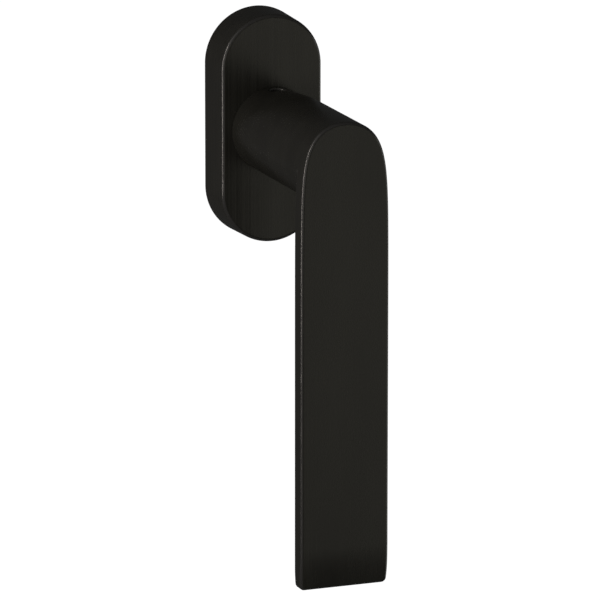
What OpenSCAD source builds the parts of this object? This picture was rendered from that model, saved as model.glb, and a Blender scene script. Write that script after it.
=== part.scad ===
// Window sash handle: an oval rosette with a cranked, flat-bladed lever.
// Frame: the mounting face of the rosette is the plane y = 0, the front
// faces -Y, +Z is up and the lever turns about the Y axis. Inside a
// module that starts with forward(), x is across, y is up and z is the
// distance out from the mounting face.

/* [Rosette] */
// Width of the oval rosette
rosette_w = 31.2; // [26:0.2:38]
// Height of the oval rosette
rosette_h = 67; // [60:0.5:82]
// Depth of the rosette, from the sash to its front face
rosette_d = 13; // [10.8:0.1:16]
// Wall of the pressed cover
cover_wall = 1.2; // [0.8:0.1:1.5]
// Radius of the cover's front edge
cover_edge = 1.1; // [0.4:0.1:2]
// How much narrower the cover is at its front, on each side
cover_draft = 0.4; // [0:0.05:0.5]
// Thickness of the cast base plate
base_t = 3.2; // [2.6:0.1:4]

/* [Lever] */
// Distance from the sash to the front of the blade
reach = 70.4; // [58:0.2:85]
// Distance from the turning axis down to the tip of the blade
grip_len = 120.6; // [95:0.2:150]
// Distance from the turning axis up to the crown of the blade
crown_h = 13.4; // [12.9:0.1:16]
// How slowly the blade widens below its crown
crown_fade = 6.6; // [5:0.1:9]
// Width of the blade
blade_w = 26.5; // [25.2:0.1:32]
// Thickness of the blade
blade_t = 5.5; // [4:0.1:7]
// Diameter of the round neck where it leaves the rosette
neck_d = 24.6; // [22.6:0.1:25]
// Rounding along the edges of the blade
edge_r = 1; // [0.4:0.1:1.2]
// Corner radius at the tip of the blade
tip_r = 1.5; // [1.25:0.05:4]
// How far the front of the blade falls back at the tip
tip_drop = 0.9; // [0:0.1:1.5]
// Length over which the front of the blade falls back
tip_bend = 12; // [6:0.5:30]
// How much the blade narrows on each side at the tip
tip_taper = 0.3; // [0:0.05:0.6]

/* [Spindle and screws] */
// Size across the flats of the square spindle
spindle_af = 7; // [5.8:0.1:8.4]
// How far the spindle stands out behind the rosette
spindle_out = 30; // [20:1:45]
// Distance between the two fixing screws
screw_pitch = 43; // [38:0.5:46]
// Thread diameter of the fixing screws
screw_d = 5; // [4:0.1:5.4]
// Length of the fixing screws, head included
screw_len = 25; // [16:1:50]
// Diameter of the locating bosses on the back of the base plate
boss_d = 10; // [8.4:0.1:12]
// How far the locating bosses stand out
boss_h = 3; // [2:0.1:6]
// Thread diameter of the grub screw in the neck
grub_d = 5; // [4:0.1:6]

/* [Detent] */
// Metal left between the spindle's corners and the hub's rear journal
hub_wall = 1.1; // [0.9:0.05:1.5]
// Height of the cam's corners above its flats
cam_rise = 1.1; // [0.8:0.05:1.3]
// Thickness of the two leaf springs
leaf_t = 0.5; // [0.4:0.05:0.6]

/* [Fits] */
// Radial running clearance of the hub in its two bushes
run_gap = 0.05; // [0.02:0.01:0.1]
// Clearance between pieces that are pressed or slid together
fit_gap = 0.02; // [0.01:0.01:0.03]
// Clearance between faces that pass each other
pass_gap = 0.3; // [0.2:0.05:0.4]

/* [Hidden] */
$fn = 96;

// --- rosette, worked out from the driving sizes ---
cavity_w = rosette_w - 2 * cover_wall;
cavity_h = rosette_h - 2 * cover_wall;
cavity_d = rosette_d - cover_wall;
// gap all round between the base plate and the inside of the cover
base_gap = 0.4;
base_w = cavity_w - 2 * base_gap;
base_h = cavity_h - 2 * base_gap;

// --- hub, from the spindle outwards ---
spindle_chamfer = 0.4;
spindle_bore = spindle_af + 2 * fit_gap;
rear_r = spindle_af / 2 * sqrt(2) + hub_wall;
seat_r = rear_r + 0.6;
seat_flat = rear_r + 0.05;
front_r = seat_r + 1.8;
bush_wall = 1.2;
front_bush_r = front_r + run_gap + bush_wall;
front_flange_r = front_bush_r + 1;
rear_bush_r = rear_r + run_gap + bush_wall;
rear_flange_r = rear_bush_r + 1.2;
cover_hole_r = front_bush_r + pass_gap;
shank_r = front_r - 1.05;
shank_flat = shank_r - 0.8;

// --- distances out from the mounting face ---
flange_t = 0.6;
float_gap = 0.1;
ring_t = 1;
hub_back = 0.2;
ring_out = 0.9;
recess_d = ring_out + ring_t + float_gap + flange_t;
pad_out = recess_d + 1.8;
thrust_t = 0.4;
cam_out = pad_out + thrust_t + float_gap;
bridge_t = 1;
small_head_h = 1.1;
bridge_top = cavity_d - small_head_h - 0.5;
bridge_out = bridge_top - bridge_t;
cam_top = bridge_out - flange_t - float_gap;
cam_t = cam_top - cam_out;
neck_out = rosette_d + pass_gap;
bush_end = neck_out - float_gap;

// --- detent ---
cam_flat = seat_r + 1.15;
cam_r = cam_flat + cam_rise;
leaf_gap = 0.03;
leaf_in = cam_flat + leaf_gap;
leaf_w = cam_t - 0.4;
block_in = cam_r + 0.4;
block_out = block_in + 1.9;
leaf_half = block_out - 0.4;
block_lip = 1.1;
slot_gap = 0.1;

// --- pillars and small screws of the bridge plate ---
pillar_r = 1.8;
pillar_x = cavity_w / 2 - pillar_r - 4;
pillar_y = leaf_in + leaf_t + slot_gap + block_lip + 0.5 + pillar_r;
bridge_w = cavity_w - 1.2;
bridge_h = 2 * (pillar_y + pillar_r + 0.4);
small_r = 1.25;
small_head_r = 2.2;
small_len = 5;

// --- cover clips ---
clip_t = 0.5;
clip_w = 6;
clip_foot = 2;
clip_low = 1.35;
clip_nose_r = 0.5;
clip_x = base_w / 2 - 0.2;
clip_top = bridge_out - 0.6;

// --- fixing screws ---
head_r = 0.92 * screw_d;
head_sink = 0.1;
screw_hole_gap = 0.25;
screw_top = base_t - head_sink;

// --- lever ---
neck_r = neck_d / 2;
half_w = blade_w / 2;
blade_back = reach - blade_t;
// the neck has taken up the blade's crown at this share of its length
morph_share = 0.42;
neck_len = blade_back - neck_out;
neck_fillet = 1.6;
shank_end = neck_out + 13.7;
socket_end = shank_end + 0.5;
spindle_end = shank_end - 0.5;
grub_out = neck_out + 4.4;
grub_low = spindle_af / 2 + fit_gap;
grub_top = neck_r - 2;
grub_gap = 0.05;
hex_socket_d = grub_d / 2 / cos(30);

// --- helpers ---
module forward() {
    rotate([90, 0, 0]) children();
}

module tube(r_out, r_in, z0, z1) {
    translate([0, 0, z0]) difference() {
        cylinder(r = r_out, h = z1 - z0);
        translate([0, 0, -1]) cylinder(r = r_in, h = z1 - z0 + 2);
    }
}

// flat oval with half-round ends
module oval(w, h) {
    square([w, h - w], center = true);
    for (s = [-1, 1]) translate([0, s * (h - w) / 2]) circle(d = w);
}

// half section of an oval block: slanted wall, rounded front edge
module edge_profile(r, d, e, draft) {
    slant = atan(draft / d);
    touch_y = d - e + e * sin(slant);
    centre_x = r - touch_y * tan(slant) - e * cos(slant);
    polygon([[0, 0], [r, 0], [centre_x + e * cos(slant), touch_y], [centre_x, d - e],
             [centre_x, d], [0, d]]);
    translate([centre_x, d - e]) intersection() {
        circle(r = e);
        square(2 * e);
    }
}

// oval block whose front edge is rounded
module soft_oval(w, h, d, e, draft) {
    for (s = [-1, 1])
        translate([0, s * (h - w) / 2, 0])
            rotate([0, 0, s > 0 ? 0 : 180])
                rotate_extrude(angle = 180) edge_profile(w / 2, d, e, draft);
    translate([0, (h - w) / 2, 0]) rotate([90, 0, 0])
        linear_extrude(height = h - w) {
            edge_profile(w / 2, d, e, draft);
            mirror([1, 0]) edge_profile(w / 2, d, e, draft);
        }
}

// square bar with its four long edges taken off
module chamfered_bar(af, c, z0, z1) {
    translate([0, 0, z0]) linear_extrude(height = z1 - z0) intersection() {
        square(af, center = true);
        rotate(45) square(af * sqrt(2) - 2 * c, center = true);
    }
}

// round bar with a flat on the left and on the right
module double_d(r, flat, z0, z1) {
    translate([0, 0, z0]) linear_extrude(height = z1 - z0) intersection() {
        circle(r = r);
        square([2 * flat, 3 * r], center = true);
    }
}

// --- rosette pieces ---
module cover() {
    inner_edge = max(cover_edge - cover_wall, 0.2);
    color([0.13, 0.13, 0.125]) forward() difference() {
        soft_oval(rosette_w, rosette_h, rosette_d, cover_edge, cover_draft);
        translate([0, 0, -cover_wall])
            soft_oval(cavity_w, cavity_h, rosette_d, inner_edge, cover_draft);
        cylinder(r = cover_hole_r, h = rosette_d + 1);
    }
}

module spring_block() {
    translate([block_in, leaf_in - slot_gap - block_lip, 0]) difference() {
        cube([block_out - block_in, leaf_t + 2 * (slot_gap + block_lip), cam_top - 0.2]);
        translate([-1, block_lip, cam_out])
            cube([leaf_half - block_in + 1.1, leaf_t + 2 * slot_gap, cam_t]);
    }
}

module clip_pocket() {
    translate([clip_x - clip_t - 0.1, -clip_w / 2 - 0.1, -1])
        cube([base_w, clip_w + 0.2, base_t + 2]);
    translate([clip_x - clip_foot - 0.1, -clip_w / 2 - 0.1, clip_low - 0.1])
        cube([clip_foot, clip_w + 0.2, clip_t + 0.2]);
}

module base_plate() {
    color([0.62, 0.62, 0.6]) forward() difference() {
        union() {
            linear_extrude(height = base_t) oval(base_w, base_h);
            cylinder(r = rear_bush_r + 1, h = pad_out);
            for (s = [-1, 1]) translate([0, s * screw_pitch / 2, -boss_h])
                cylinder(d = boss_d, h = boss_h + 0.5);
            for (sx = [-1, 1], sy = [-1, 1])
                translate([sx * pillar_x, sy * pillar_y, 0])
                    cylinder(r = pillar_r, h = bridge_out);
            for (sx = [0, 1], sy = [0, 1])
                mirror([sx, 0, 0]) mirror([0, sy, 0]) spring_block();
        }
        translate([0, 0, -1]) cylinder(r = rear_bush_r + fit_gap, h = pad_out + 2);
        translate([0, 0, -1]) cylinder(r = rear_flange_r + fit_gap, h = recess_d + 1);
        for (s = [-1, 1]) translate([0, s * screw_pitch / 2, 0]) {
            translate([0, 0, -boss_h - 1])
                cylinder(r = screw_d / 2 + screw_hole_gap, h = base_t + boss_h + 2);
            translate([0, 0, screw_top - head_r])
                cylinder(r1 = head_sink, r2 = head_r + 2 * head_sink, h = head_r + head_sink);
        }
        for (sx = [-1, 1], sy = [-1, 1])
            translate([sx * pillar_x, sy * pillar_y, bridge_top - small_len - 0.3])
                cylinder(r = small_r + fit_gap, h = small_len);
        for (s = [0, 1]) mirror([s, 0, 0]) clip_pocket();
    }
}

// spring clip on one long side of the base plate, gripping the cover
module cover_clip(side) {
    nose_out = (base_t + clip_top) / 2;
    wall_x = cavity_w / 2 - cover_draft * (nose_out + cover_wall) / rosette_d;
    color([0.7, 0.71, 0.73]) forward() mirror([side > 0 ? 0 : 1, 0, 0]) union() {
        translate([clip_x - clip_foot, -clip_w / 2, clip_low])
            cube([clip_foot, clip_w, clip_t]);
        translate([clip_x - clip_t, -clip_w / 2, clip_low])
            cube([clip_t, clip_w, clip_top - clip_low]);
        translate([wall_x - 0.1 - clip_nose_r, clip_w / 2, nose_out])
            rotate([90, 0, 0]) cylinder(r = clip_nose_r, h = clip_w, $fn = 32);
    }
}

module clip_left() { cover_clip(-1); }
module clip_right() { cover_clip(1); }

module bridge_plate() {
    corner_r = 2.2;
    color([0.72, 0.73, 0.75]) forward() difference() {
        translate([0, 0, bridge_out]) linear_extrude(height = bridge_t)
            union() {
                square([bridge_w, bridge_h - 2 * corner_r], center = true);
                square([bridge_w - 2 * corner_r, bridge_h], center = true);
                for (sx = [-1, 1], sy = [-1, 1])
                    translate([sx * (bridge_w / 2 - corner_r), sy * (bridge_h / 2 - corner_r)])
                        circle(r = corner_r);
            }
        cylinder(r = front_bush_r + fit_gap, h = rosette_d);
        for (sx = [-1, 1], sy = [-1, 1])
            translate([sx * pillar_x, sy * pillar_y, 0])
                cylinder(r = small_r + 0.1, h = rosette_d);
    }
}

// small pan-head screw through the bridge plate into a pillar
module bridge_screw(sx, sy) {
    slot_w = 0.6;
    color([0.78, 0.78, 0.76]) forward() translate([sx * pillar_x, sy * pillar_y, 0])
        difference() {
            union() {
                translate([0, 0, bridge_top - small_len]) cylinder(r = small_r, h = small_len);
                translate([0, 0, bridge_top]) cylinder(r = small_head_r, h = small_head_h);
            }
            for (a = [0, 90]) rotate([0, 0, a])
                translate([-1.3, -slot_w / 2, bridge_top + 0.4]) cube([2.6, slot_w, 2]);
        }
}

module bridge_screw_1() { bridge_screw(-1, 1); }
module bridge_screw_2() { bridge_screw(1, 1); }
module bridge_screw_3() { bridge_screw(-1, -1); }
module bridge_screw_4() { bridge_screw(1, -1); }

module front_bush() {
    color([0.2, 0.2, 0.2]) forward() union() {
        tube(front_flange_r, front_r + run_gap, bridge_out - flange_t, bridge_out);
        tube(front_bush_r, front_r + run_gap, bridge_out - flange_t / 2, bush_end);
    }
}

module rear_bush() {
    color([0.9, 0.9, 0.87]) forward() union() {
        tube(rear_flange_r, rear_r + run_gap, recess_d - flange_t, recess_d);
        tube(rear_bush_r, rear_r + run_gap, recess_d - flange_t / 2, pad_out);
    }
}

module thrust_washer() {
    color([0.75, 0.6, 0.35]) forward()
        tube(rear_bush_r + 0.8, rear_r + 0.15,
             pad_out + float_gap / 2, pad_out + float_gap / 2 + thrust_t);
}

// flat leaf that lies on one flat of the cam
module leaf_spring(s) {
    color([0.66, 0.68, 0.72]) forward() mirror([0, s > 0 ? 0 : 1, 0])
        translate([-leaf_half, leaf_in, cam_out + 0.2])
            cube([2 * leaf_half, leaf_t, leaf_w]);
}

module leaf_spring_upper() { leaf_spring(1); }
module leaf_spring_lower() { leaf_spring(-1); }

// countersunk screw with a cross recess: a thin plain neck, then the thread that enters the sash
module fixing_screw(s) {
    tip = 0.8;
    recess_w = 0.2 * screw_d;
    neck = 0.44 * screw_d;
    step = screw_d / 2 - neck;
    head_foot = screw_top - head_r + neck;
    thread_top = -boss_h - 0.5 - step;
    color([0.8, 0.78, 0.7]) forward() translate([0, s * screw_pitch / 2, 0]) difference() {
        union() {
            translate([0, 0, head_foot])
                cylinder(r1 = neck, r2 = head_r, h = screw_top - head_foot);
            translate([0, 0, thread_top])
                cylinder(r = neck, h = head_foot - thread_top);
            translate([0, 0, thread_top])
                cylinder(r1 = screw_d / 2, r2 = neck, h = step);
            translate([0, 0, screw_top - screw_len + tip])
                cylinder(d = screw_d, h = thread_top - screw_top + screw_len - tip);
            translate([0, 0, screw_top - screw_len])
                cylinder(r1 = screw_d / 2 - tip, r2 = screw_d / 2, h = tip);
        }
        for (a = [0, 90]) rotate([0, 0, a])
            translate([-0.5 * screw_d, -recess_w / 2, screw_top - 0.36 * screw_d])
                cube([screw_d, recess_w, screw_d]);
    }
}

module fixing_screw_upper() { fixing_screw(1); }
module fixing_screw_lower() { fixing_screw(-1); }

// --- turning pieces ---
module hub() {
    groove_r = rear_r - 0.45;
    color([0.55, 0.56, 0.58]) forward() difference() {
        union() {
            translate([0, 0, hub_back]) cylinder(r = rear_r, h = cam_out - hub_back + 0.1);
            double_d(seat_r, seat_flat, cam_out, cam_top + 0.1);
            translate([0, 0, cam_top]) cylinder(r = front_r, h = neck_out - cam_top);
            double_d(shank_r, shank_flat, neck_out - 0.1, shank_end);
        }
        tube(rear_r + 1, groove_r, ring_out - fit_gap, ring_out + ring_t + fit_gap);
        translate([-spindle_bore / 2, -spindle_bore / 2, -1])
            cube([spindle_bore, spindle_bore, shank_end + 2]);
        translate([0, 0, grub_out]) rotate([-90, 0, 0])
            cylinder(d = grub_d + 2 * grub_gap, h = neck_r);
    }
}

module detent_cam() {
    color([0.6, 0.6, 0.62]) forward() difference() {
        translate([0, 0, cam_out]) linear_extrude(height = cam_t) intersection() {
            square(2 * cam_flat, center = true);
            circle(r = cam_r);
        }
        double_d(seat_r + fit_gap, seat_flat + fit_gap, cam_out - 1, cam_top + 1);
    }
}

module retaining_ring() {
    ring_r = rear_r + 1.7;
    ring_mouth = 0.6 * rear_r;
    color([0.35, 0.36, 0.38]) forward() difference() {
        tube(ring_r, rear_r - 0.45 + fit_gap, ring_out, ring_out + ring_t);
        translate([-ring_mouth, -2 * ring_r, 0]) cube([2 * ring_mouth, 2 * ring_r, 3]);
    }
}

module spindle() {
    color([0.68, 0.69, 0.71]) forward()
        chamfered_bar(spindle_af, spindle_chamfer, -spindle_out, spindle_end);
}

module grub_screw() {
    color([0.25, 0.25, 0.26]) forward() translate([0, 0, grub_out]) rotate([-90, 0, 0])
        difference() {
            translate([0, 0, grub_low]) cylinder(d = grub_d, h = grub_top - grub_low);
            translate([0, 0, grub_top - 0.5 * grub_d])
                cylinder(d = hex_socket_d, h = grub_d, $fn = 6);
        }
}

// 0 at a length above the tip and further up, rising to 1 at the tip
function near_tip(z, length) = pow(max(0, 1 - (z + grip_len) / length), 2);

// half width of the blade at height z, which narrows towards crown and tip
function blade_x(z) = half_w * sqrt(1 - exp((z - crown_h) / crown_fade))
                      - tip_taper * near_tip(z, tip_bend / 2);

// how far a point lies outside the crown curve (below 0 inside it)
function crown_miss(r, a) =
    pow(r * cos(a) / half_w, 2) + exp((r * sin(a) - crown_h) / crown_fade) - 1;

// distance from the axis to the crown curve in direction a, by halving
function crown_r(a, lo, hi, n) =
    n == 0 ? (lo + hi) / 2 :
    crown_miss((lo + hi) / 2, a) > 0 ? crown_r(a, lo, (lo + hi) / 2, n - 1)
                                     : crown_r(a, (lo + hi) / 2, hi, n - 1);

// steps over the crown, down one side, round one tip corner, along the tip
crown_n = 24;
flat_n = 10;
bend_n = 8;
side_n = flat_n + bend_n;
corner_n = 4;
tip_n = 6;
bend_z = tip_bend - grip_len;
corner_z = tip_r - grip_len;
corner_x = blade_x(corner_z) - tip_r;
crown_angles = [for (i = [0 : crown_n]) 180 * i / crown_n];
crown_radii = [for (a = crown_angles) crown_r(a, neck_r / 2, 2 * half_w, 24)];

// left side of the blade, from the axis down, set in by e
function side_points(e) = [
    for (i = [1 : side_n])
        let (z = i <= flat_n ? bend_z * pow(i / flat_n, 1.6)
                             : bend_z + (corner_z - bend_z) * (i - flat_n) / bend_n)
        [-(blade_x(z) - e), z]
];

function corner_points(e) = [
    for (i = [1 : corner_n])
        let (a = 180 + 90 * i / corner_n)
        [-corner_x + (tip_r - e) * cos(a), corner_z + (tip_r - e) * sin(a)]
];

function tip_points(e) = [
    for (i = [1 : tip_n - 1])
        [corner_x * (2 * i / tip_n - 1), -(grip_len - e)]
];

function mirrored(list) = [for (i = [len(list) - 1 : -1 : 0]) [-list[i][0], list[i][1]]];

// outline of the blade, anticlockwise from its right side at axis height
function blade_outline(e, low_only) = concat(
    [for (i = [0 : crown_n])
        let (r = crown_radii[i] - (low_only ? 0 : e))
        [r * cos(crown_angles[i]), r * sin(crown_angles[i])]],
    side_points(e), corner_points(e), tip_points(e),
    mirrored(corner_points(e)), mirrored(side_points(e))
);
low_n = 2 * (side_n + corner_n) + tip_n - 1;
ring_n = crown_n + 1 + low_n;

// outline of the neck: its crown share m runs from round to the blade's
function neck_outline(m, flare) = [
    for (i = [0 : ring_n - 1])
        let (
            upper = i <= crown_n,
            a = upper ? crown_angles[i] : 180 + 180 * (i - crown_n) / (low_n + 1),
            r = upper ? neck_r + m * (crown_radii[i] - neck_r) : neck_r + flare * -sin(a)
        )
        [r * cos(a), r * sin(a)]
];

function smooth(t) = t <= 0 ? 0 : t >= 1 ? 1 : t * t * (3 - 2 * t);

// one outline lifted to a distance out from the mounting face
function ring_at(outline, out_crown, out_low) = [
    for (i = [0 : len(outline) - 1])
        [outline[i][0], outline[i][1], i <= crown_n ? out_crown : out_low]
];

// one blade outline near the front, falling back towards the tip
function front_ring(outline, out) = [
    for (p = outline) [p[0], p[1], out - tip_drop * near_tip(p[1], tip_bend)]
];

// the blade's front in strips that are flat from side to side
front_faces = let (last = side_n + corner_n) [
    [for (i = [0 : crown_n + flat_n]) i, for (i = [flat_n : -1 : 1]) ring_n - i],
    for (i = [flat_n : last - 2])
        [crown_n + i, crown_n + i + 1, ring_n - i - 1, ring_n - i],
    [for (i = [crown_n + last - 1 : ring_n - last + 1]) i]
];

// closed surface through a list of equal outlines, the last one closed by
// the given faces
module skin(rings, end_faces) {
    n = len(rings[0]);
    points = [for (ring = rings, p = ring) p];
    sides = [
        for (k = [0 : len(rings) - 2], i = [0 : n - 1])
            let (j = (i + 1) % n)
            each [
                [k * n + i, (k + 1) * n + i, (k + 1) * n + j],
                [k * n + i, (k + 1) * n + j, k * n + j]
            ]
    ];
    start = [for (i = [0 : n - 1]) i];
    end = [
        for (face = end_faces)
            [for (i = [len(face) - 1 : -1 : 0]) (len(rings) - 1) * n + face[i]]
    ];
    polyhedron(points = points, faces = concat([start], sides, end), convexity = 6);
}

neck_steps = 12;
edge_steps = 4;
lever_rings = concat(
    // round neck that takes up the crown of the blade
    [for (k = [0 : neck_steps])
        let (t = k / neck_steps, out = neck_out + t * (neck_len - 2 * neck_fillet))
        ring_at(neck_outline(smooth(t / morph_share), 0), out, out)],
    // fillet under the neck, against the back of the blade
    [for (k = [1 : edge_steps])
        let (
            a = 90 * k / edge_steps,
            out_low = blade_back - neck_fillet + neck_fillet * sin(a),
            out_crown = blade_back - 2 * neck_fillet + 0.5 * neck_fillet * k / edge_steps
        )
        ring_at(neck_outline(1, neck_fillet * (1 - cos(a))), out_crown, out_low)],
    // back edge of the blade, rounded below the crown
    [for (k = [0 : edge_steps])
        let (
            a = 90 * k / edge_steps,
            out_crown = blade_back - neck_fillet + (edge_r + neck_fillet) * (k + 1) / (edge_steps + 1)
        )
        ring_at(blade_outline(edge_r * (1 - sin(a)), true), out_crown,
                blade_back + edge_r * (1 - cos(a)))],
    // front edge of the blade, rounded all the way round
    [for (k = [0 : edge_steps])
        let (a = 90 * k / edge_steps)
        front_ring(blade_outline(edge_r * (1 - cos(a)), false),
                   reach - edge_r * (1 - sin(a)))]
);

module lever() {
    color([0.13, 0.13, 0.125]) forward() difference() {
        skin(lever_rings, front_faces);
        double_d(shank_r + fit_gap, shank_flat + fit_gap, neck_out - 1, socket_end);
        translate([0, 0, grub_out]) rotate([-90, 0, 0])
            cylinder(d = grub_d + 2 * grub_gap, h = 2 * neck_r);
    }
}

cover();
base_plate();
clip_left();
clip_right();
bridge_plate();
bridge_screw_1();
bridge_screw_2();
bridge_screw_3();
bridge_screw_4();
front_bush();
rear_bush();
thrust_washer();
leaf_spring_upper();
leaf_spring_lower();
fixing_screw_upper();
fixing_screw_lower();
lever();
hub();
detent_cam();
retaining_ring();
spindle();
grub_screw();
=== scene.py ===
"""Matt black window sash handle: oval rosette, round neck and a flat cranked blade."""
import math

import bpy
import numpy as np
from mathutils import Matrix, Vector


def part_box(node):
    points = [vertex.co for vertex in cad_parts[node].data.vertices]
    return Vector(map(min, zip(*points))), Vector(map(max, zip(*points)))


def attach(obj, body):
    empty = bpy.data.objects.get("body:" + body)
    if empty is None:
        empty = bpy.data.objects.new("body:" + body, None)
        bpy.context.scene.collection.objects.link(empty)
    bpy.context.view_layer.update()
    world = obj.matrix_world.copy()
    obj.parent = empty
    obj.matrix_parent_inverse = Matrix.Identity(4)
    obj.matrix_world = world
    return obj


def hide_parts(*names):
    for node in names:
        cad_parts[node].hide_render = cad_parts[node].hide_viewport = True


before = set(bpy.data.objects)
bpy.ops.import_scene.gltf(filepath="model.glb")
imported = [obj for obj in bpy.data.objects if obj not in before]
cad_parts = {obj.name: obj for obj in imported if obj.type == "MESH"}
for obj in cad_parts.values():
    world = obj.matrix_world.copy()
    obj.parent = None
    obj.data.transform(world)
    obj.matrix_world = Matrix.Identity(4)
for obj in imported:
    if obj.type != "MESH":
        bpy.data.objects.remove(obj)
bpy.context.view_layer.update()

MM = 0.001

# ---------------------------------------------------------------- sizes, in mm
# The mounting face is y = 0 and the front faces -Y. "out" is the distance from
# the mounting face, so a point that lies out mm in front of it has y = -out.


def corners(node):
    """Lowest and highest corner of a CAD node in mm."""
    low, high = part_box(node)
    return np.array(low) / MM, np.array(high) / MM


cover_low, cover_high = corners("cover")
lever_low, lever_high = corners("lever")
grub_low, grub_high = corners("grub_screw")
hub_low, hub_high = corners("hub")
bush_low, bush_high = corners("front_bush")
screw_low, screw_high = corners("fixing_screw_upper")

ROSETTE_W = cover_high[0] - cover_low[0]
ROSETTE_H = cover_high[2] - cover_low[2]
ROSETTE_D = -cover_low[1]
COVER_WALL = 1.2
COVER_EDGE = 1.1
COVER_DRAFT = 0.4
COVER_HOLE_R = 10.0

REACH = -lever_low[1]
NECK_OUT = -lever_high[1]
HALF_W = lever_high[0]
CROWN_H = lever_high[2]
GRIP_LEN = -lever_low[2]
CROWN_FADE = 6.6
BLADE_T = 5.5
NECK_R = 12.3
EDGE_R = 1.0
TIP_R = 1.5
TIP_DROP = 0.9
TIP_BEND = 12.0
TIP_TAPER = 0.3
NECK_FILLET = 1.6
MORPH_SHARE = 0.42
SOCKET_R = 7.42
SOCKET_FLAT = 6.62
SOCKET_END = -hub_low[1] + 0.5
BLADE_BACK = REACH - BLADE_T
NECK_END = BLADE_BACK - 2 * NECK_FILLET

GRUB_OUT = -(grub_low[1] + grub_high[1]) / 2
GRUB_HOLE_R = (grub_high[0] - grub_low[0]) / 2 + 0.05
GRUB_PATCH = 3.7
GRUB_BLEND_R = 3.9

SCREW_R = 2.5
SCREW_NECK_R = 0.88 * SCREW_R
SCREW_HEAD_R = (screw_high[0] - screw_low[0]) / 2
SCREW_TOP = -screw_low[1]
SCREW_END = -screw_high[1]
THREAD_TOP = -3.5
THREAD_PITCH = 0.8
THREAD_DEPTH = 0.42


# ---------------------------------------------------------------- mesh making
def smooth(t):
    """0 below 0, 1 above 1, and 3t^2 - 2t^3 between."""
    t = np.clip(t, 0.0, 1.0)
    return t * t * (3 - 2 * t)


def make_mesh(name, points, quads, polygons=(), edge=None):
    """Object from an (n, 3) array in mm, an (m, 4) array of quads and a few end polygons."""
    corner_ids = np.concatenate([quads.ravel(), *[np.asarray(p) for p in polygons]]).astype(np.int32)
    sizes = np.concatenate([np.full(len(quads), 4), [len(p) for p in polygons]]).astype(np.int32)
    starts = np.concatenate([[0], np.cumsum(sizes)[:-1]]).astype(np.int32)
    mesh = bpy.data.meshes.new(name)
    mesh.vertices.add(len(points))
    mesh.vertices.foreach_set("co", (np.asarray(points) * MM).astype(np.float32).ravel())
    mesh.loops.add(len(corner_ids))
    mesh.loops.foreach_set("vertex_index", corner_ids)
    mesh.polygons.add(len(sizes))
    mesh.polygons.foreach_set("loop_start", starts)
    mesh.update(calc_edges=True)
    mesh.shade_smooth()
    # edge holds each point's amount of painted highlight, kept as the point attribute edge
    if edge is not None:
        layer = mesh.attributes.new("edge", "FLOAT", "POINT")
        layer.data.foreach_set("value", np.asarray(edge, dtype=np.float32).ravel())
    obj = bpy.data.objects.new(name, mesh)
    bpy.context.scene.collection.objects.link(obj)
    return obj


def grid_quads(rows, columns, wrap_rows=False):
    """Quads between neighbouring rows of a grid whose columns close into a loop."""
    count = rows if wrap_rows else rows - 1
    row, column = np.meshgrid(np.arange(count), np.arange(columns), indexing="ij")
    below = (row + 1) % rows
    right = (column + 1) % columns
    return np.stack([row * columns + column, row * columns + right,
                     below * columns + right, below * columns + column], -1).reshape(-1, 4)


# ---------------------------------------------------------------- lever
def near_tip(z, length):
    """(1 - height above the tip / length) squared, and 0 from that length upwards."""
    return np.maximum(0, 1 - (z + GRIP_LEN) / length) ** 2


def blade_half_width(z):
    """HALF_W * sqrt(1 - exp((z - CROWN_H) / CROWN_FADE)), a little less close to the tip."""
    crown = np.sqrt(1 - np.exp(np.minimum(z - CROWN_H, 0) / CROWN_FADE))
    return HALF_W * crown - TIP_TAPER * near_tip(z, TIP_BEND / 2)


def crown_radius(angle):
    """Distance from the axis to the crown curve in each direction, found by halving."""
    low, high = np.full_like(angle, NECK_R / 2), np.full_like(angle, 2 * HALF_W)
    for _ in range(40):
        mid = (low + high) / 2
        across, up = mid * np.cos(angle), mid * np.sin(angle)
        miss = (across / HALF_W) ** 2 + np.exp((up - CROWN_H) / CROWN_FADE) - 1
        low, high = np.where(miss > 0, low, mid), np.where(miss > 0, mid, high)
    return (low + high) / 2


CROWN_N = 120
FLAT_N = 60
BEND_N = 30
SIDE_N = FLAT_N + BEND_N
CORNER_N = 10
TIP_N = 24
crown_angle = np.linspace(0, math.pi, CROWN_N + 1)
crown_r = crown_radius(crown_angle)
BEND_Z = TIP_BEND - GRIP_LEN
CORNER_Z = TIP_R - GRIP_LEN
CORNER_X = blade_half_width(CORNER_Z) - TIP_R
LOW_N = 2 * (SIDE_N + CORNER_N) + TIP_N - 1
RING_N = CROWN_N + 1 + LOW_N
is_crown = np.arange(RING_N) <= CROWN_N


def blade_outline(inset, low_only=False):
    """Blade outline from its right side over the crown and round the tip, set in by inset."""
    radius = crown_r - (0 if low_only else inset)
    crown = np.stack([radius * np.cos(crown_angle), radius * np.sin(crown_angle)], -1)
    z = np.concatenate([BEND_Z * (np.arange(1, FLAT_N + 1) / FLAT_N) ** 1.6,
                        np.linspace(BEND_Z, CORNER_Z, BEND_N + 1)[1:]])
    fade = smooth(-z / 4) if low_only else 1.0
    side = np.stack([-(blade_half_width(z) - inset * fade), z], -1)
    a = math.pi + math.pi / 2 * np.arange(1, CORNER_N + 1) / CORNER_N
    corner = np.stack([-CORNER_X + (TIP_R - inset) * np.cos(a),
                       CORNER_Z + (TIP_R - inset) * np.sin(a)], -1)
    x = CORNER_X * (2 * np.arange(1, TIP_N) / TIP_N - 1)
    tip = np.stack([x, np.full_like(x, -(GRIP_LEN - inset))], -1)
    flip = np.array([-1.0, 1.0])
    return np.concatenate([crown, side, corner, tip, corner[::-1] * flip, side[::-1] * flip])


low_angle = math.pi + math.pi * np.arange(1, LOW_N + 1) / (LOW_N + 1)
neck_angle = np.concatenate([crown_angle, low_angle])
crown_all = np.concatenate([crown_r, np.full(LOW_N, NECK_R)])


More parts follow.
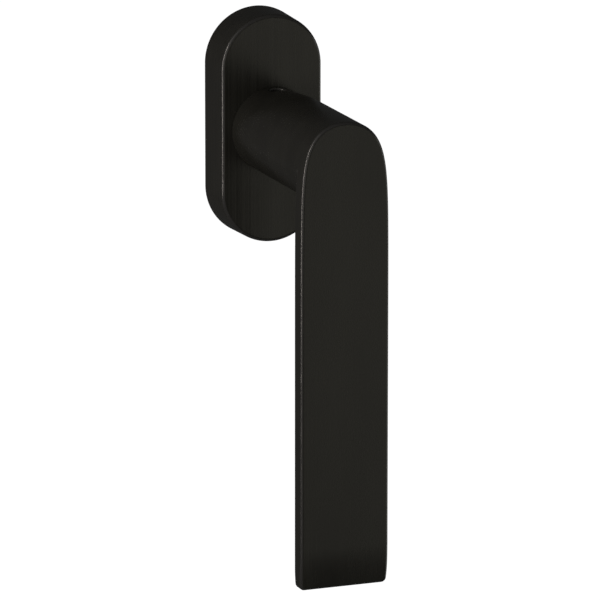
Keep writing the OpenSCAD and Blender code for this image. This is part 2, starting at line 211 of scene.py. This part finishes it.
def neck_morph(out):
    """How far the neck has taken up the crown's shape: 0 at its end face, then smoothly to 1."""
    return smooth((out - NECK_OUT) / (NECK_END - NECK_OUT) / MORPH_SHARE)


def neck_outline(morph, flare=0.0, radius=None):
    """Round outline whose crown side takes up the blade's crown as morph goes from 0 to 1."""
    base = NECK_R if radius is None else radius
    r = np.where(is_crown, base + morph * (crown_all - NECK_R),
                 base + flare * np.maximum(-np.sin(neck_angle), 0))
    return np.stack([r * np.cos(neck_angle), r * np.sin(neck_angle)], -1)


def socket_outline():
    """Round socket with a flat on the left and on the right: r = min(R, flat / |cos a|)."""
    r = np.minimum(SOCKET_R, SOCKET_FLAT / np.maximum(np.abs(np.cos(neck_angle)), 1e-6))
    return np.stack([r * np.cos(neck_angle), r * np.sin(neck_angle)], -1)


def lift(outline, out_crown, out_low=None):
    """Outline (x, z) placed at its distance out: points (x, -out, z)."""
    out = np.where(is_crown, out_crown, out_crown if out_low is None else out_low)
    return np.stack([outline[:, 0], -out, outline[:, 1]], -1)


def lift_front(outline, out):
    """Outline near the front of the blade: out falls back by TIP_DROP at the tip."""
    return lift(outline, out - TIP_DROP * near_tip(outline[:, 1], TIP_BEND))


def front_faces(first):
    """The blade's front, whose last ring starts at point first, in strips flat from side to side."""
    last = SIDE_N + CORNER_N
    left = CROWN_N + np.arange(last + 1)
    right = (RING_N - np.arange(last + 1)) % RING_N
    top = np.concatenate([np.arange(CROWN_N + FLAT_N + 1), right[FLAT_N:0:-1]])
    strips = np.stack([left[FLAT_N:last - 1], left[FLAT_N + 1:last],
                       right[FLAT_N + 1:last], right[FLAT_N:last - 1]], -1)
    tip = np.arange(left[last - 1], right[last - 1] + 1)
    return [first + top, *(first + strips), first + tip]


GRUB_CELLS = 14


def make_lever():
    """One closed skin: socket, round neck, fillet, blade back, blade edges and blade front.

    The skin is a stack of outlines with the same number of points. The grub screw's hole is a
    patch of the neck's grid whose squares are turned into circles and let down to a floor.
    """
    rings, highlight_rings = [], []

    # each ring also gets an amount of painted highlight, a lighter colour standing in for light on the
    # rounded edges
    def add(ring, highlight_amount=0.0):
        rings.append(ring)
        highlight_rings.append(np.broadcast_to(np.asarray(highlight_amount, dtype=float), (RING_N,)))

    # socket for the hub, from its floor back to the neck's end face
    socket = socket_outline()
    for share in (0.0, 0.25):
        add(lift(socket * 0.999, SOCKET_END + share * (NECK_OUT - SOCKET_END)))
    add(lift(socket, NECK_OUT + 0.4))
    add(lift(socket * 1.03, NECK_OUT))
    for inset in (3.0, 0.6, 0.35):
        add(lift(neck_outline(0, radius=NECK_R - inset), NECK_OUT))
    soft = 0.3
    # painted highlight 0.5 on the neck's rounded end
    for a in np.radians([0, 22.5, 45, 67.5, 90]):
        add(lift(neck_outline(0, radius=NECK_R - soft * (1 - math.sin(a))),
                 NECK_OUT + soft * (1 - math.cos(a))), 0.5)
    # neck: even steps across the grub hole, then longer ones
    patch = GRUB_OUT + np.linspace(-GRUB_PATCH, GRUB_PATCH, 2 * GRUB_CELLS + 1)
    first_patch_ring = len(rings)
    for out in np.concatenate([patch, np.linspace(patch[-1], NECK_END, 60)[1:]]):
        add(lift(neck_outline(neck_morph(out)), out))
    # fillet under the neck, against the back of the blade
    for a in np.radians(np.linspace(9, 90, 10)):
        out_low = BLADE_BACK - NECK_FILLET + NECK_FILLET * math.sin(a)
        out_crown = NECK_END + 0.5 * NECK_FILLET * a / (math.pi / 2)
        add(lift(neck_outline(1, NECK_FILLET * (1 - math.cos(a))), out_crown, out_low))
    # flat back of the blade, out to its edge
    under = neck_outline(1, NECK_FILLET)
    edge_in = blade_outline(EDGE_R, low_only=True)
    out_crown = NECK_END + 0.5 * NECK_FILLET
    crown_step = 0.12
    for share in (0.02, 0.5, 0.97, 0.99):
        out_crown += crown_step
        add(lift(under + share * (edge_in - under), out_crown, BLADE_BACK))
    # back edge, rounded below the crown
    # painted highlight only on this rounding below the crown, strongest half way round
    highlight_below_crown = np.where(is_crown, 0.0, 1.0)
    for a in np.radians(np.linspace(0, 90, 9)):
        out_crown += crown_step
        add(lift(blade_outline(EDGE_R * (1 - math.sin(a)), True), out_crown,
                 BLADE_BACK + EDGE_R * (1 - math.cos(a))), highlight_below_crown * math.sin(2 * a))
    # side of the blade
    full = blade_outline(0)
    side_from = (out_crown, BLADE_BACK + EDGE_R)
    side_to = REACH - EDGE_R - TIP_DROP * near_tip(full[:, 1], TIP_BEND)
    for share in (0.04, 0.35, 0.65, 0.96):
        add(lift(full, side_from[0] + share * (side_to - side_from[0]),
                 side_from[1] + share * (side_to - side_from[1])))
    # front edge, rounded all the way round, then the flat front
    # painted highlight on the front rounding, strongest half way round
    for a in np.radians(np.linspace(0, 90, 13)):
        add(lift_front(blade_outline(EDGE_R * (1 - math.cos(a))),
                       REACH - EDGE_R * (1 - math.sin(a))), math.sin(2 * a))
    for inset in (0.06, 0.2, 0.45):
        add(lift_front(blade_outline(EDGE_R + inset), REACH))

    points = np.array(rings)
    highlight_amount = np.array(highlight_rings)
    sink_grub_hole(points, highlight_amount, first_patch_ring)
    rows = len(points)
    start = np.arange(RING_N)[::-1]
    front = front_faces((rows - 1) * RING_N)
    return make_mesh("lever_body", points.reshape(-1, 3), grid_quads(rows, RING_N),
                     [start, *front], highlight_amount)


def sink_grub_hole(points, highlight_amount, first_ring):
    """Turns a square patch of the neck's grid into a round hole with a softened mouth.

    A grid step (p, q) from the middle lies on square number m = max(|p|, |q|). Squares up to 8
    become circles; from 8 to the patch's rim the circle blends back into the square grid.
    """
    n = GRUB_CELLS
    p, q = np.meshgrid(np.arange(-n, n + 1), np.arange(-n, n + 1), indexing="ij")
    m = np.maximum(np.abs(p), np.abs(q))
    rows = first_ring + p + n
    columns = CROWN_N // 2 + q
    block = points[rows, columns]
    middle = np.array([0.0, -GRUB_OUT])
    flat = block[..., :2] - middle
    norm = np.maximum(np.hypot(p, q), 1e-9)
    # x falls as the column number grows, y falls as the row number grows
    direction = np.stack([-q / norm, -p / norm], -1)
    ring_r = np.interp(m, [0, 1, 2, 3, 5, 6, 7, 8, n],
                       [0, 0.8, 1.6, GRUB_HOLE_R, GRUB_HOLE_R, GRUB_HOLE_R, GRUB_HOLE_R + 0.08,
                        GRUB_HOLE_R + 0.25, GRUB_BLEND_R])
    blend = np.clip((m - 8) / (n - 8), 0, 1)[..., None]
    place = (1 - blend) * direction * ring_r[..., None] + blend * flat + middle
    morph = neck_morph(-place[..., 1])
    angle = np.arccos(np.clip(place[..., 0] / NECK_R, -1, 1))
    for _ in range(6):
        radius = NECK_R + morph * (np.interp(angle, crown_angle, crown_r) - NECK_R)
        angle = np.arccos(np.clip(place[..., 0] / radius, -1, 1))
    surface = radius * np.sin(angle)
    floor = SOCKET_R + 0.2
    sunk = np.interp(m, [3, 4, 5, 6, 7, 8], [1, 0.75, 0.3, 0.09, 0.02, 0])
    z = surface + sunk * (floor - surface)
    points[rows, columns] = np.stack([place[..., 0], place[..., 1], z], -1)
    # painted highlight 0.8 on the rounded mouth of the hole
    mouth = (m == 6) | (m == 7)
    highlight_amount[rows, columns] = np.where(mouth, 0.8, 0.0)


# ---------------------------------------------------------------- cover
COVER_N = 264
COVER_SIDE_N = 22


def oval_outline(half_w, half_h):
    """Flat oval with half-round ends, anticlockwise from its right side at mid height."""
    straight = half_h - half_w
    side = COVER_SIDE_N
    arc = (COVER_N - 4 * side) // 2
    up = np.stack([np.full(side, half_w), straight * np.arange(side) / side], -1)
    a = math.pi * np.arange(arc) / arc
    top = np.stack([half_w * np.cos(a), straight + half_w * np.sin(a)], -1)
    down = np.stack([np.full(side, -half_w), straight * (1 - np.arange(side) / side)], -1)
    half = np.concatenate([up, top, down])
    return np.concatenate([half, -half])


def make_cover():
    """Closed shell: a wall profile carried round the oval, joined to a round hole in front.

    The wall leans in by COVER_DRAFT over its height and meets the face in a quarter circle.
    """
    half_w, half_h = ROSETTE_W / 2, ROSETTE_H / 2
    lean = math.atan(COVER_DRAFT / ROSETTE_D)
    rings, highlight_rings = [], []

    # each ring also gets an amount of painted highlight, a lighter colour standing in for light on
    # rounded edges and rims
    def add(outline, out, highlight_amount=0.0):
        rings.append(np.stack([outline[:, 0], np.full(COVER_N, -out), outline[:, 1]], -1))
        highlight_rings.append(np.full(COVER_N, highlight_amount))

    def oval(inset):
        return oval_outline(half_w - inset, half_h - inset)

    outer = oval(COVER_DRAFT + COVER_EDGE)
    direction = outer / np.linalg.norm(outer, axis=1, keepdims=True)
    hole = direction * COVER_HOLE_R

    # inside, from the rim up the wall and across to the hole
    inner_out = ROSETTE_D - COVER_WALL
    # painted highlight 0.3 on the inside of the back rim
    add(oval(COVER_WALL), 0.15, 0.3)
    for out in (0.5, 4.0, 8.0, inner_out - 0.3):
        add(oval(COVER_WALL + out * math.tan(lean)), out)
    inner = oval(COVER_WALL + inner_out * math.tan(lean) + 0.3)
    for share in (0.0, 0.03, 0.5, 0.97):
        add(inner + share * (hole - inner), inner_out)
    # round hole, its front edge rounded
    soft = 0.2
    for out in (inner_out, inner_out + 0.1, ROSETTE_D - soft - 0.05):
        add(hole, out)
    # painted highlight 0.7 on the hole's rounded front edge
    for a in np.radians([22.5, 45, 67.5]):
        add(hole + direction * soft * (1 - math.cos(a)), ROSETTE_D - soft * (1 - math.sin(a)), 0.7)
    mouth = hole + direction * soft
    add(mouth, ROSETTE_D)
    # front face, out to the rounded edge
    touch = ROSETTE_D - COVER_EDGE + COVER_EDGE * math.sin(lean)
    centre = touch * math.tan(lean) + COVER_EDGE * math.cos(lean)
    face = oval(centre)
    for share in (0.02, 0.06, 0.35, 0.7, 0.96, 0.99):
        add(mouth + share * (face - mouth), ROSETTE_D)
    # painted highlight across the front edge's rounding, strongest half way round
    for a in np.linspace(math.pi / 2, lean, 13):
        add(oval(centre - COVER_EDGE * math.cos(a)), ROSETTE_D - COVER_EDGE * (1 - math.sin(a)),
            math.sin(2 * a))
    # outside wall down to the rim
    for share in (0.97, 0.7, 0.4, 0.1, 0.02):
        out = share * touch
        add(oval(out * math.tan(lean)), out)
    # painted highlight 0.3 to 0.4 on the back rim
    add(oval(0.02), 0.03, 0.4)
    add(oval(0.15), 0.0, 0.4)
    add(oval(COVER_WALL - 0.15), 0.0, 0.3)
    points = np.array(rings)
    quads = grid_quads(len(points), COVER_N, wrap_rows=True)
    return make_mesh("rosette_cover", points.reshape(-1, 3), quads, [], np.array(highlight_rings))


# ---------------------------------------------------------------- fixing screws
def make_fixing_screw(name, middle_z):
    """Countersunk screw with a rolled thread and a cross recess, turned about the Y axis.

    The shank is r(out, a) = R - depth * tooth(out / pitch + a / 2 pi), where tooth is a
    rounded triangle wave; the head's top is let down inside the arms of a cross.
    """
    sides, rings_per_turn = 40, 9
    arm, arm_reach, arm_depth = 0.55, 2.4, 1.7
    head_foot = SCREW_TOP - SCREW_HEAD_R + SCREW_NECK_R
    a = 2 * math.pi * np.arange(sides) / sides
    rings = []

    def add(r, out):
        r = np.broadcast_to(r, (sides,))
        out = np.broadcast_to(out, (sides,))
        rings.append(np.stack([r * np.cos(a), -out, middle_z + r * np.sin(a)], -1))

    # thread, tapered at its end and running out into the neck
    count = int((THREAD_TOP - SCREW_END) / THREAD_PITCH * rings_per_turn)
    for out in np.linspace(SCREW_END, THREAD_TOP, count):
        wave = (out / THREAD_PITCH + a / (2 * math.pi)) % 1.0
        tooth = smooth(np.abs(2 * wave - 1) * 1.3 - 0.1)
        run_in = smooth((out - SCREW_END) / 1.2)
        run_out = smooth((THREAD_TOP - out) / THREAD_PITCH)
        full = SCREW_NECK_R + (SCREW_R - SCREW_NECK_R - THREAD_DEPTH * tooth) * run_out
        add(full - 0.7 * (1 - run_in), out)
    # plain neck and countersunk head
    add(SCREW_NECK_R, THREAD_TOP + 0.1)
    add(SCREW_NECK_R, head_foot)
    add(SCREW_HEAD_R - 0.12, SCREW_TOP - 0.14)
    add(SCREW_HEAD_R, SCREW_TOP - 0.08)
    add(SCREW_HEAD_R - 0.1, SCREW_TOP)
    # top of the head, with the cross
    radii = np.concatenate([np.linspace(SCREW_HEAD_R - 0.4, arm_reach, 4),
                            np.linspace(arm_reach - 0.1, 0.1, 22)])
    for r in radii:
        across = np.minimum(np.abs(r * np.cos(a)), np.abs(r * np.sin(a)))
        inside = smooth((arm - across) / 0.15) * smooth((arm_reach - r) / 0.3)
        add(r, SCREW_TOP - arm_depth * inside * (1 - 0.3 * r / arm_reach))
    points = np.array(rings)
    rows = len(points)
    start = np.arange(sides)[::-1]
    finish = (rows - 1) * sides + np.arange(sides)
    return make_mesh(name, points.reshape(-1, 3), grid_quads(rows, sides), [start, finish])


# ---------------------------------------------------------------- shader maths
class Num:
    """A number socket whose operators add Math nodes."""

    def __init__(self, paint, socket):
        self.paint = paint
        self.socket = socket

    def maths(self, operation, *values):
        return self.paint.node("Math", {"operation": operation},
                               {i: v for i, v in enumerate(values)})

    def __add__(self, other):
        return self.maths("ADD", self, other)

    def __sub__(self, other):
        return self.maths("SUBTRACT", self, other)

    def __rsub__(self, other):
        return self.maths("SUBTRACT", other, self)

    def __mul__(self, other):
        return self.maths("MULTIPLY", self, other)

    __radd__ = __add__
    __rmul__ = __mul__

    def step(self, low, high):
        """0 below low, 1 above high, smooth between."""
        return self.paint.node("MapRange", {"interpolation_type": "SMOOTHSTEP"},
                               {"Value": self, "From Min": low, "From Max": high})


class Paint:
    """A material's node tree, with one method that adds any node."""

    def __init__(self, name):
        self.material = bpy.data.materials.new(name)
        self.material.use_nodes = True
        self.tree = self.material.node_tree
        self.tree.nodes.clear()
        self.where = self.node("TexCoord", out="Object")

    def node(self, kind, settings=None, values=None, out=0):
        made = self.tree.nodes.new("ShaderNode" + kind)
        for key, value in (settings or {}).items():
            setattr(made, key, value)
        for key, value in (values or {}).items():
            if isinstance(value, Num):
                self.tree.links.new(value.socket, made.inputs[key])
            else:
                made.inputs[key].default_value = value
        return Num(self, made.outputs[out]) if made.outputs else None

    def noise(self, scale, stretch=(1, 1, 1), detail=3.0, rough=0.55):
        """Noise over Object coordinates, in features per metre, stretched by axis."""
        at = self.node("Mapping", {}, {"Vector": self.where, "Scale": [scale * s for s in stretch]})
        return self.node("TexNoise", {}, {"Vector": at, "Scale": 1.0, "Detail": detail,
                                          "Roughness": rough})

    def attribute(self, name):
        return self.node("Attribute", {"attribute_name": name}, out="Fac")

    def mix(self, factor, low, high):
        """Colour between low and high."""
        return self.node("Mix", {"data_type": "RGBA"}, {0: factor, 6: low, 7: high}, out=2)

    def bump(self, height, strength, distance):
        return self.node("Bump", {}, {"Height": height, "Strength": strength, "Distance": distance})

    def finish(self, **sockets):
        """Principled shader from socket values; spaces in names are underscores."""
        shader = self.node("BsdfPrincipled", {},
                           {key.replace("_", " "): value for key, value in sockets.items()})
        self.node("OutputMaterial", {}, {"Surface": shader})
        return self.material


def rgb(r, g, b):
    return (r, g, b, 1.0)


# ---------------------------------------------------------------- finishes
def black_satin(name, grain_depth, streaks, shade):
    """Matt black metal brushed up and down, with a painted highlight where edge is high: a lighter,
    part metallic colour on the rounded edges.
    """
    paint = Paint(name)
    fine = paint.noise(3600, (1, 1, 0.003), 4, 0.6)
    broad = paint.noise(1500, (1, 1, 0.003), 3, 0.6)
    cloud = paint.noise(75, (1, 1, 0.3), detail=3)
    speck = paint.noise(2600, detail=2)
    edge = paint.attribute("edge")
    grain = fine * 0.4 + broad * 0.6
    tone = (grain - 0.5) * streaks + (cloud - 0.5) * 0.7 + 0.5
    dark = rgb(*(shade * value for value in (0.017, 0.0164, 0.0135)))
    light = rgb(*(shade * value for value in (0.045, 0.0434, 0.0356)))
    base = paint.mix(tone.step(0.05, 0.95), dark, light)
    # painted highlight: where edge is high, the colour goes to a light grey and part metallic, in place
    # of the light that the rounded edges catch
    edge_highlight_mask = edge.step(0.25, 1.0) * (0.78 + 0.2 * speck)
    colour = paint.mix(edge_highlight_mask, base, rgb(0.085, 0.083, 0.079))
    rough = 0.27 + (grain - 0.5) * streaks * 0.2 + (cloud - 0.5) * 0.08 - edge * 0.06
    normal = paint.bump(grain, grain_depth, 0.00004)
    return paint.finish(Base_Color=colour, Metallic=edge_highlight_mask * 0.4, Roughness=rough, Normal=normal,
                        Specular_IOR_Level=0.42, Specular_Tint=rgb(1.0, 0.965, 0.83))


def plated(name, low, high, rough, stretch=(1, 1, 1), scale=900, bump=0.15):
    """Bare or plated metal: two tones of noise, stretched along the way it was worked."""
    paint = Paint(name)
    grain = paint.noise(scale, stretch, 4, 0.6)
    cloud = paint.noise(120, detail=3)
    tone = (grain * 0.6 + cloud * 0.4).step(0.3, 0.7)
    colour = paint.mix(tone, rgb(*low), rgb(*high))
    roughness = rough + (grain - 0.5) * 0.2 + (cloud - 0.5) * 0.12
    return paint.finish(Base_Color=colour, Metallic=1.0, Roughness=roughness,
                        Normal=paint.bump(grain, bump, 0.00005))


def turned(name, low, high, rough):
    """Turned metal: fine rings about the Y axis, from the distance to that axis."""
    paint = Paint(name)
    flat = paint.node("VectorMath", {"operation": "MULTIPLY"},
                      {0: paint.where, 1: (1.0, 0.0, 1.0)}, out="Vector")
    radius = paint.node("VectorMath", {"operation": "LENGTH"}, {0: flat}, out="Value")
    along = paint.node("SeparateXYZ", {}, {0: paint.where}, out="Y")
    ring = radius.maths("SINE", (radius + along) * 26000)
    cloud = paint.noise(300, detail=3)
    tone = (ring * 0.2 + cloud).step(0.2, 0.8)
    colour = paint.mix(tone, rgb(*low), rgb(*high))
    return paint.finish(Base_Color=colour, Metallic=1.0, Roughness=rough + (cloud - 0.5) * 0.2,
                        Normal=paint.bump(ring, 0.1, 0.00003))


def cast_zinc(name):
    """Tumbled casting: pitted, with a soft grey bloom."""
    paint = Paint(name)
    pits = paint.noise(1400, detail=5, rough=0.65)
    bloom = paint.noise(90, detail=3)
    tone = (pits * 0.5 + bloom * 0.5).step(0.3, 0.7)
    colour = paint.mix(tone, rgb(0.24, 0.24, 0.235), rgb(0.44, 0.44, 0.43))
    return paint.finish(Base_Color=colour, Metallic=0.85, Roughness=0.5 + (bloom - 0.5) * 0.25,
                        Normal=paint.bump(pits, 0.35, 0.00012))


def moulded(name, low, high, rough):
    """Moulded plastic with a fine spark-eroded texture."""
    paint = Paint(name)
    texture = paint.noise(3200, detail=3)
    cloud = paint.noise(150, detail=2)
    colour = paint.mix(cloud.step(0.3, 0.7), rgb(*low), rgb(*high))
    return paint.finish(Base_Color=colour, Roughness=rough + (texture - 0.5) * 0.15,
                        Normal=paint.bump(texture, 0.2, 0.00004))


satin_cover = black_satin("black satin cover", 0.34, 1.15, 1.0)
satin_lever = black_satin("black satin lever", 0.1, 0.35, 0.92)
spring_steel = plated("rolled spring steel", (0.30, 0.32, 0.36), (0.5, 0.52, 0.56), 0.28, (0.05, 1, 1))
zinc_plate = plated("zinc plated sheet", (0.42, 0.44, 0.48), (0.62, 0.64, 0.68), 0.3, (0.15, 1, 1))
zinc_screw = plated("zinc plated screw", (0.45, 0.45, 0.44), (0.66, 0.66, 0.62), 0.3)
bronze = plated("rolled bronze", (0.40, 0.25, 0.10), (0.58, 0.40, 0.19), 0.32, (0.1, 1, 1))
sintered = plated("sintered steel", (0.16, 0.16, 0.165), (0.32, 0.32, 0.33), 0.5, scale=2600, bump=0.4)
black_oxide = plated("black oxide steel", (0.03, 0.03, 0.034), (0.075, 0.075, 0.08), 0.36)
drawn_steel = plated("cold drawn steel", (0.36, 0.37, 0.39), (0.56, 0.57, 0.6), 0.3, (1, 0.02, 1), 2600)
turned_steel = turned("turned steel", (0.3, 0.31, 0.33), (0.5, 0.51, 0.53), 0.3)
zinc_cast = cast_zinc("cast zinc")
acetal_black = moulded("black acetal", (0.012, 0.012, 0.0125), (0.022, 0.022, 0.023), 0.42)
acetal_white = moulded("white acetal", (0.68, 0.68, 0.64), (0.8, 0.8, 0.77), 0.4)

CAD_FINISHES = {
    "base_plate": zinc_cast,
    "bridge_plate": zinc_plate,
    "front_bush": acetal_black,
    "rear_bush": acetal_white,
    "thrust_washer": bronze,
    "hub": turned_steel,
    "detent_cam": sintered,
    "retaining_ring": black_oxide,
    "spindle": drawn_steel,
    "grub_screw": black_oxide,
    "clip_left": spring_steel,
    "clip_right": spring_steel,
    "leaf_spring_upper": spring_steel,
    "leaf_spring_lower": spring_steel,
    **{f"bridge_screw_{i}": zinc_screw for i in range(1, 5)},
}


def paint_piece(obj, material):
    obj.data.materials.clear()
    obj.data.materials.append(material)


for node, finish in CAD_FINISHES.items():
    paint_piece(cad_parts[node], finish)

# ---------------------------------------------------------------- new pieces
lever = make_lever()
paint_piece(lever, satin_lever)
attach(lever, "lever")
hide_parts("lever")

cover = make_cover()
paint_piece(cover, satin_cover)
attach(cover, "rosette")
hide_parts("cover")

for place in ("upper", "lower"):
    node = f"fixing_screw_{place}"
    low, high = corners(node)
    screw = make_fixing_screw(f"countersunk_screw_{place}", (low[2] + high[2]) / 2)
    paint_piece(screw, zinc_screw)
    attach(screw, "rosette")
    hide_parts(node)

# ---------------------------------------------------------------- stage and lights
scene = bpy.context.scene
scene.view_settings.view_transform = "Standard"


def make_floor():
    """Square pale floor that glows a little, well below the handle, which its rosette holds."""
    half, level = 6000.0, -420.0
    points = np.array([[-half, -half, level], [half, -half, level], [half, half, level],
                       [-half, half, level]])
    floor = make_mesh("floor", points, np.array([[0, 1, 2, 3]]))
    pale = Paint("pale floor").finish(Base_Color=rgb(0.9, 0.9, 0.9), Roughness=0.9,
                                      Emission_Color=rgb(1, 1, 1), Emission_Strength=1.0)
    paint_piece(floor, pale)
    floor.visible_glossy = False
    floor.visible_diffuse = False


def make_world():
    """White behind the object for the camera, and a dim even grey for light and reflections."""
    world = bpy.data.worlds.new("studio")
    world.use_nodes = True
    tree = world.node_tree
    tree.nodes.clear()
    path = tree.nodes.new("ShaderNodeLightPath")
    shown, lighting = tree.nodes.new("ShaderNodeBackground"), tree.nodes.new("ShaderNodeBackground")
    shown.inputs["Color"].default_value = rgb(1, 1, 1)
    shown.inputs["Strength"].default_value = 1.0
    lighting.inputs["Color"].default_value = rgb(1, 1, 1)
    lighting.inputs["Strength"].default_value = 0.04
    choice = tree.nodes.new("ShaderNodeMixShader")
    output = tree.nodes.new("ShaderNodeOutputWorld")
    tree.links.new(path.outputs["Is Camera Ray"], choice.inputs[0])
    tree.links.new(lighting.outputs[0], choice.inputs[1])
    tree.links.new(shown.outputs[0], choice.inputs[2])
    tree.links.new(choice.outputs[0], output.inputs[0])
    scene.world = world


LIT_POINT = Vector((0.0, -0.035, -0.04))


def soft_light(name, azimuth, elevation, distance, width, height, power, colour=(1, 1, 1)):
    """Rectangular light facing LIT_POINT; azimuth 0 is in front, positive on the +X side."""
    a, e = math.radians(azimuth), math.radians(elevation)
    away = Vector((math.sin(a) * math.cos(e), -math.cos(a) * math.cos(e), math.sin(e)))
    data = bpy.data.lights.new(name, "AREA")
    data.shape = "RECTANGLE"
    data.size, data.size_y = width, height
    data.energy = power
    data.color = colour
    lamp = bpy.data.objects.new(name, data)
    lamp.location = LIT_POINT + away * distance
    lamp.rotation_mode = "QUATERNION"
    lamp.rotation_quaternion = away.to_track_quat("Z", "Y")
    scene.collection.objects.link(lamp)
    return lamp


make_floor()
make_world()
soft_light("front panel", 27, -7.5, 0.9, 0.46, 0.48, 0.302)
soft_light("front left panel", -30, 2, 0.9, 0.4, 0.5, 0.36)
soft_light("left strip", -73, 9, 0.8, 0.095, 0.7, 2.35, (1.0, 0.94, 0.94))
soft_light("upper left panel", -60, 42, 0.9, 0.7, 0.4, 0.3)
soft_light("right panel", 70, -8, 0.9, 0.6, 0.7, 1.15)
soft_light("rear panel", -163, -1, 0.9, 0.34, 0.42, 0.009, (1.0, 0.95, 0.96))
soft_light("rear right panel", 116, -18, 0.9, 0.45, 0.5, 0.6)


# ---------------------------------------------------------------- camera
CAMERA_TURN = -20.99
CAMERA_RISE = 13.25
CAMERA_DISTANCE = 1.81095
CAMERA_TARGET = Vector((0.0, -0.030, -0.030))
turn, rise = math.radians(CAMERA_TURN), math.radians(CAMERA_RISE)
away = Vector((math.sin(turn) * math.cos(rise), -math.cos(turn) * math.cos(rise), math.sin(rise)))
camera_data = bpy.data.cameras.new("camera")
camera_data.sensor_width = 36.0
camera_data.lens = 382.53
camera_data.shift_x = 0.0111
camera_data.shift_y = -0.0936
camera_data.clip_end = 50.0
camera = bpy.data.objects.new("camera", camera_data)
camera.location = CAMERA_TARGET + away * CAMERA_DISTANCE
camera.rotation_mode = "QUATERNION"
camera.rotation_quaternion = away.to_track_quat("Z", "Y")
scene.collection.objects.link(camera)
scene.camera = camera
